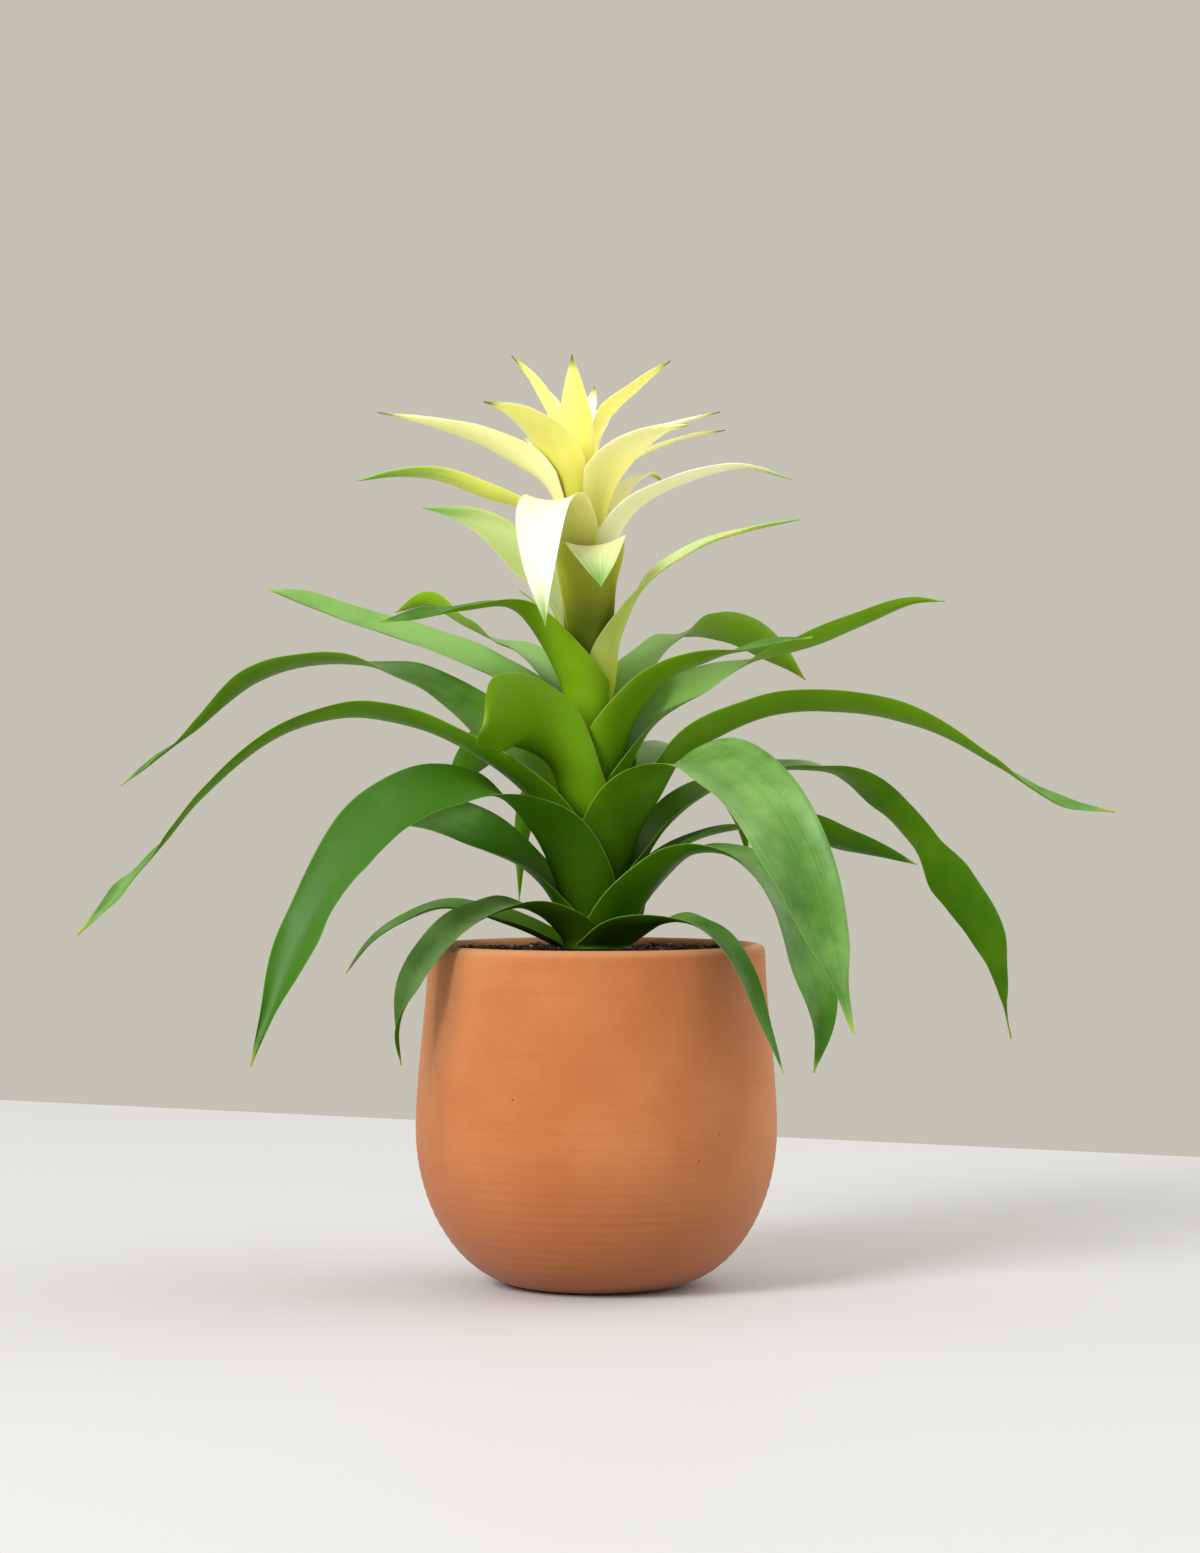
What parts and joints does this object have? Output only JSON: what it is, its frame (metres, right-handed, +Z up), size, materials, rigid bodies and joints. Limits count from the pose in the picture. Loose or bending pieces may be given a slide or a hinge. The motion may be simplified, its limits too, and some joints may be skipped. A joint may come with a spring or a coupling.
{
  "type": "potted bromeliad",
  "caption": "Potted bromeliad: terracotta bowl pot with potting mix, arching green strap leaves on a short stem, and an upright star of yellow bracts.",
  "frame": {"origin": "centre of the pot's flat foot, on the surface it stands on", "axes": "+Z up along the pot's axis; the front of the plant faces -Y and +X is to its right"},
  "size_m": [0.3973, 0.262, 0.3593],
  "materials": {
    "terracotta": "unglazed, thrown, matte",
    "potting_mix": "loose bark and peat with perlite grains",
    "stem_green": "living stem, satin",
    "leaf_green": "living leaf, satin with a waxy sheen",
    "bract_yellow": "living bract, satin"
  },
  "bodies": {
    "root": {"pot": "terracotta", "potting_mix": "potting_mix", "stem": "stem_green", "leaf_01": "leaf_green", "leaf_02": "leaf_green", "leaf_03": "leaf_green", "leaf_04": "leaf_green", "leaf_05": "leaf_green", "leaf_06": "leaf_green", "leaf_07": "leaf_green", "leaf_08": "leaf_green", "leaf_09": "leaf_green", "leaf_10": "leaf_green", "leaf_11": "leaf_green", "leaf_12": "leaf_green", "leaf_13": "leaf_green", "leaf_14": "leaf_green", "leaf_15": "leaf_green", "leaf_16": "leaf_green", "leaf_17": "leaf_green", "leaf_18": "leaf_green", "leaf_19": "leaf_green", "leaf_20": "leaf_green", "leaf_21": "leaf_green", "leaf_22": "leaf_green", "leaf_23": "leaf_green", "leaf_24": "leaf_green", "leaf_25": "leaf_green", "bract_01": "bract_yellow", "bract_02": "bract_yellow", "bract_03": "bract_yellow", "bract_04": "bract_yellow", "bract_05": "bract_yellow", "bract_06": "bract_yellow", "bract_07": "bract_yellow", "bract_08": "bract_yellow", "bract_09": "bract_yellow", "bract_10": "bract_yellow", "bract_11": "bract_yellow", "bract_12": "bract_yellow", "bract_13": "bract_yellow", "bract_14": "bract_yellow", "bract_15": "bract_yellow", "bract_16": "bract_yellow", "bract_17": "bract_yellow", "bract_18": "bract_yellow", "bract_19": "bract_yellow", "bract_20": "bract_yellow", "bract_21": "bract_yellow", "bract_22": "bract_yellow"}
  },
  "joints": []
}
